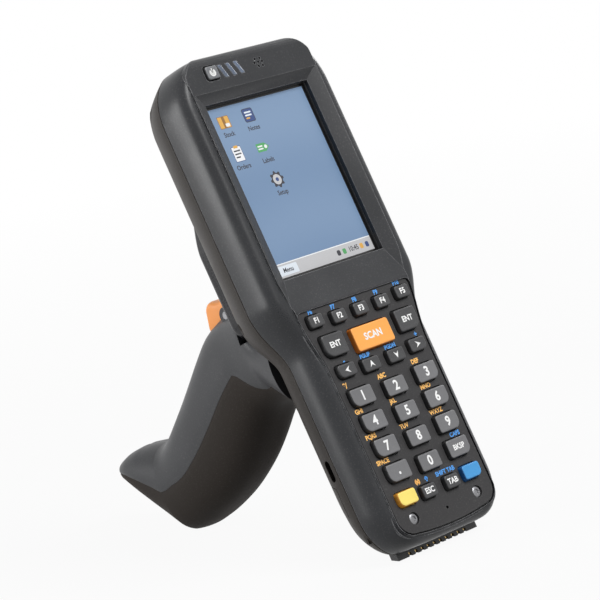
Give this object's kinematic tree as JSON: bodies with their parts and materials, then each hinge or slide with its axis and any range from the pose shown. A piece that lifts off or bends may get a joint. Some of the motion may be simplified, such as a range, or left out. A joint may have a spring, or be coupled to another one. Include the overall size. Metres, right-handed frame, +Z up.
{
  "type": "portable barcode data terminal",
  "caption": "Handheld scanning terminal with a portrait display, a raised keypad and a pistol grip, standing like an easel on its tail and the heel of its grip.",
  "frame": {"origin": "middle of the flat lower edge of the charging connector at the tail, on the surface the terminal stands on", "axes": "+X to the right seen from the display side, +Z up, -Y towards the person who looks at the display"},
  "size_m": [0.074, 0.1665, 0.1797],
  "materials": {
    "shell": "fine satin",
    "rear_shell": "satin",
    "panel": "matt",
    "screen": "clear gloss over a lit picture",
    "rubber": "soft",
    "module": "dull",
    "board": "solder mask",
    "light_pipes": "frosted",
    "power_key": "silver-grey",
    "scan_window": "dark red clear",
    "connector": "black",
    "gold": "gold plated",
    "battery": "film",
    "saddle": "semi-gloss",
    "grip": "satin",
    "overmould": "soft rubber",
    "trigger": "satin orange",
    "steel": "bright",
    "key_scan": "orange",
    "key_yellow": "yellow",
    "key_blue": "blue",
    "digit_keys": "grey",
    "dark_keys": "charcoal"
  },
  "bodies": {
    "terminal": {"front_shell": "shell", "rear_shell": "rear_shell", "keypad_panel": "panel", "panel_screws": "steel", "display_window": "screen", "window_gasket": "rubber", "display_module": "module", "main_board": "board", "keypad_board": "board", "key_mat": "rubber", "light_pipes": "light_pipes", "speaker": "module", "microphone": "steel", "scan_engine": "module", "scan_window": "scan_window", "dock_connector": "connector", "dock_contacts": "gold", "battery": "battery", "cover_pin": "steel", "shell_screws": "steel", "saddle_plate": "saddle", "saddle_screws": "steel", "grip_left": "grip", "grip_right": "grip", "grip_overmould": "overmould", "grip_screws": "steel", "trigger_pin": "steel", "trigger_spring": "steel"},
    "power_key": {"power_key": "power_key"},
    "trigger": {"trigger": "trigger"},
    "cover": {"battery_cover": "rear_shell"},
    "lock": {"cover_lock": "connector"},
    "key_f1": {"key_f1": "dark_keys"},
    "key_f2": {"key_f2": "dark_keys"},
    "key_f3": {"key_f3": "dark_keys"},
    "key_f4": {"key_f4": "dark_keys"},
    "key_f5": {"key_f5": "dark_keys"},
    "key_enter_left": {"key_enter_left": "dark_keys"},
    "key_enter_right": {"key_enter_right": "dark_keys"},
    "key_scan": {"key_scan": "key_scan"},
    "key_left": {"key_left": "dark_keys"},
    "key_right": {"key_right": "dark_keys"},
    "key_up": {"key_up": "dark_keys"},
    "key_down": {"key_down": "dark_keys"},
    "key_1": {"key_1": "digit_keys"},
    "key_2": {"key_2": "digit_keys"},
    "key_3": {"key_3": "digit_keys"},
    "key_4": {"key_4": "digit_keys"},
    "key_5": {"key_5": "digit_keys"},
    "key_6": {"key_6": "digit_keys"},
    "key_7": {"key_7": "digit_keys"},
    "key_8": {"key_8": "digit_keys"},
    "key_9": {"key_9": "digit_keys"},
    "key_point": {"key_point": "digit_keys"},
    "key_0": {"key_0": "digit_keys"},
    "key_backspace": {"key_backspace": "digit_keys"},
    "key_yellow": {"key_yellow": "key_yellow"},
    "key_blue": {"key_blue": "key_blue"},
    "key_escape": {"key_escape": "dark_keys"},
    "key_tab": {"key_tab": "dark_keys"}
  },
  "joints": [
    {"name": "key_f1_press", "type": "slide", "parent": "terminal", "child": "key_f1", "axis": [0, 0.9328, -0.3603], "range_m": [0, 0.001], "stiffness_N_per_m": 400, "springref_m": -0.0005},
    {"name": "key_f2_press", "type": "slide", "parent": "terminal", "child": "key_f2", "axis": [0, 0.9328, -0.3603], "range_m": [0, 0.001], "stiffness_N_per_m": 400, "springref_m": -0.0005},
    {"name": "key_f3_press", "type": "slide", "parent": "terminal", "child": "key_f3", "axis": [0, 0.9328, -0.3603], "range_m": [0, 0.001], "stiffness_N_per_m": 400, "springref_m": -0.0005},
    {"name": "key_f4_press", "type": "slide", "parent": "terminal", "child": "key_f4", "axis": [0, 0.9328, -0.3603], "range_m": [0, 0.001], "stiffness_N_per_m": 400, "springref_m": -0.0005},
    {"name": "key_f5_press", "type": "slide", "parent": "terminal", "child": "key_f5", "axis": [0, 0.9328, -0.3603], "range_m": [0, 0.001], "stiffness_N_per_m": 400, "springref_m": -0.0005},
    {"name": "key_enter_left_press", "type": "slide", "parent": "terminal", "child": "key_enter_left", "axis": [0, 0.9328, -0.3603], "range_m": [0, 0.001], "stiffness_N_per_m": 400, "springref_m": -0.0005},
    {"name": "key_enter_right_press", "type": "slide", "parent": "terminal", "child": "key_enter_right", "axis": [0, 0.9328, -0.3603], "range_m": [0, 0.001], "stiffness_N_per_m": 400, "springref_m": -0.0005},
    {"name": "key_scan_press", "type": "slide", "parent": "terminal", "child": "key_scan", "axis": [0, 0.9328, -0.3603], "range_m": [0, 0.001], "stiffness_N_per_m": 400, "springref_m": -0.0005},
    {"name": "key_left_press", "type": "slide", "parent": "terminal", "child": "key_left", "axis": [0, 0.9328, -0.3603], "range_m": [0, 0.001], "stiffness_N_per_m": 400, "springref_m": -0.0005},
    {"name": "key_right_press", "type": "slide", "parent": "terminal", "child": "key_right", "axis": [0, 0.9328, -0.3603], "range_m": [0, 0.001], "stiffness_N_per_m": 400, "springref_m": -0.0005},
    {"name": "key_up_press", "type": "slide", "parent": "terminal", "child": "key_up", "axis": [0, 0.9328, -0.3603], "range_m": [0, 0.001], "stiffness_N_per_m": 400, "springref_m": -0.0005},
    {"name": "key_down_press", "type": "slide", "parent": "terminal", "child": "key_down", "axis": [0, 0.9328, -0.3603], "range_m": [0, 0.001], "stiffness_N_per_m": 400, "springref_m": -0.0005},
    {"name": "key_1_press", "type": "slide", "parent": "terminal", "child": "key_1", "axis": [0, 0.9328, -0.3603], "range_m": [0, 0.001], "stiffness_N_per_m": 400, "springref_m": -0.0005},
    {"name": "key_2_press", "type": "slide", "parent": "terminal", "child": "key_2", "axis": [0, 0.9328, -0.3603], "range_m": [0, 0.001], "stiffness_N_per_m": 400, "springref_m": -0.0005},
    {"name": "key_3_press", "type": "slide", "parent": "terminal", "child": "key_3", "axis": [0, 0.9328, -0.3603], "range_m": [0, 0.001], "stiffness_N_per_m": 400, "springref_m": -0.0005},
    {"name": "key_4_press", "type": "slide", "parent": "terminal", "child": "key_4", "axis": [0, 0.9328, -0.3603], "range_m": [0, 0.001], "stiffness_N_per_m": 400, "springref_m": -0.0005},
    {"name": "key_5_press", "type": "slide", "parent": "terminal", "child": "key_5", "axis": [0, 0.9328, -0.3603], "range_m": [0, 0.001], "stiffness_N_per_m": 400, "springref_m": -0.0005},
    {"name": "key_6_press", "type": "slide", "parent": "terminal", "child": "key_6", "axis": [0, 0.9328, -0.3603], "range_m": [0, 0.001], "stiffness_N_per_m": 400, "springref_m": -0.0005},
    {"name": "key_7_press", "type": "slide", "parent": "terminal", "child": "key_7", "axis": [0, 0.9328, -0.3603], "range_m": [0, 0.001], "stiffness_N_per_m": 400, "springref_m": -0.0005},
    {"name": "key_8_press", "type": "slide", "parent": "terminal", "child": "key_8", "axis": [0, 0.9328, -0.3603], "range_m": [0, 0.001], "stiffness_N_per_m": 400, "springref_m": -0.0005},
    {"name": "key_9_press", "type": "slide", "parent": "terminal", "child": "key_9", "axis": [0, 0.9328, -0.3603], "range_m": [0, 0.001], "stiffness_N_per_m": 400, "springref_m": -0.0005},
    {"name": "key_point_press", "type": "slide", "parent": "terminal", "child": "key_point", "axis": [0, 0.9328, -0.3603], "range_m": [0, 0.001], "stiffness_N_per_m": 400, "springref_m": -0.0005},
    {"name": "key_0_press", "type": "slide", "parent": "terminal", "child": "key_0", "axis": [0, 0.9328, -0.3603], "range_m": [0, 0.001], "stiffness_N_per_m": 400, "springref_m": -0.0005},
    {"name": "key_backspace_press", "type": "slide", "parent": "terminal", "child": "key_backspace", "axis": [0, 0.9328, -0.3603], "range_m": [0, 0.001], "stiffness_N_per_m": 400, "springref_m": -0.0005},
    {"name": "key_yellow_press", "type": "slide", "parent": "terminal", "child": "key_yellow", "axis": [0, 0.9328, -0.3603], "range_m": [0, 0.001], "stiffness_N_per_m": 400, "springref_m": -0.0005},
    {"name": "key_blue_press", "type": "slide", "parent": "terminal", "child": "key_blue", "axis": [0, 0.9328, -0.3603], "range_m": [0, 0.001], "stiffness_N_per_m": 400, "springref_m": -0.0005},
    {"name": "key_escape_press", "type": "slide", "parent": "terminal", "child": "key_escape", "axis": [0, 0.9328, -0.3603], "range_m": [0, 0.001], "stiffness_N_per_m": 400, "springref_m": -0.0005},
    {"name": "key_tab_press", "type": "slide", "parent": "terminal", "child": "key_tab", "axis": [0, 0.9328, -0.3603], "range_m": [0, 0.001], "stiffness_N_per_m": 400, "springref_m": -0.0005},
    {"name": "power_key_press", "type": "slide", "parent": "terminal", "child": "power_key", "axis": [0, 0.9328, -0.3603], "range_m": [0, 0.0008], "stiffness_N_per_m": 500, "springref_m": -0.0005},
    {"name": "trigger_pull", "type": "hinge", "parent": "terminal", "child": "trigger", "pos_m": [0, 0.07396, 0.08518], "axis": [-1, 0, 0], "range_deg": [0, 8], "stiffness_Nm_per_rad": 0.3, "springref_deg": -11.46},
    {"name": "cover_open", "type": "hinge", "parent": "terminal", "child": "cover", "pos_m": [0, 0.01496, 0.01555], "axis": [-1, 0, 0], "range_deg": [0, 90]},
    {"name": "lock_turn", "type": "hinge", "parent": "cover", "child": "lock", "pos_m": [0, 0.02784, 0.0421], "axis": [0, 0.9328, -0.3603], "range_deg": [0, 90]}
  ]
}
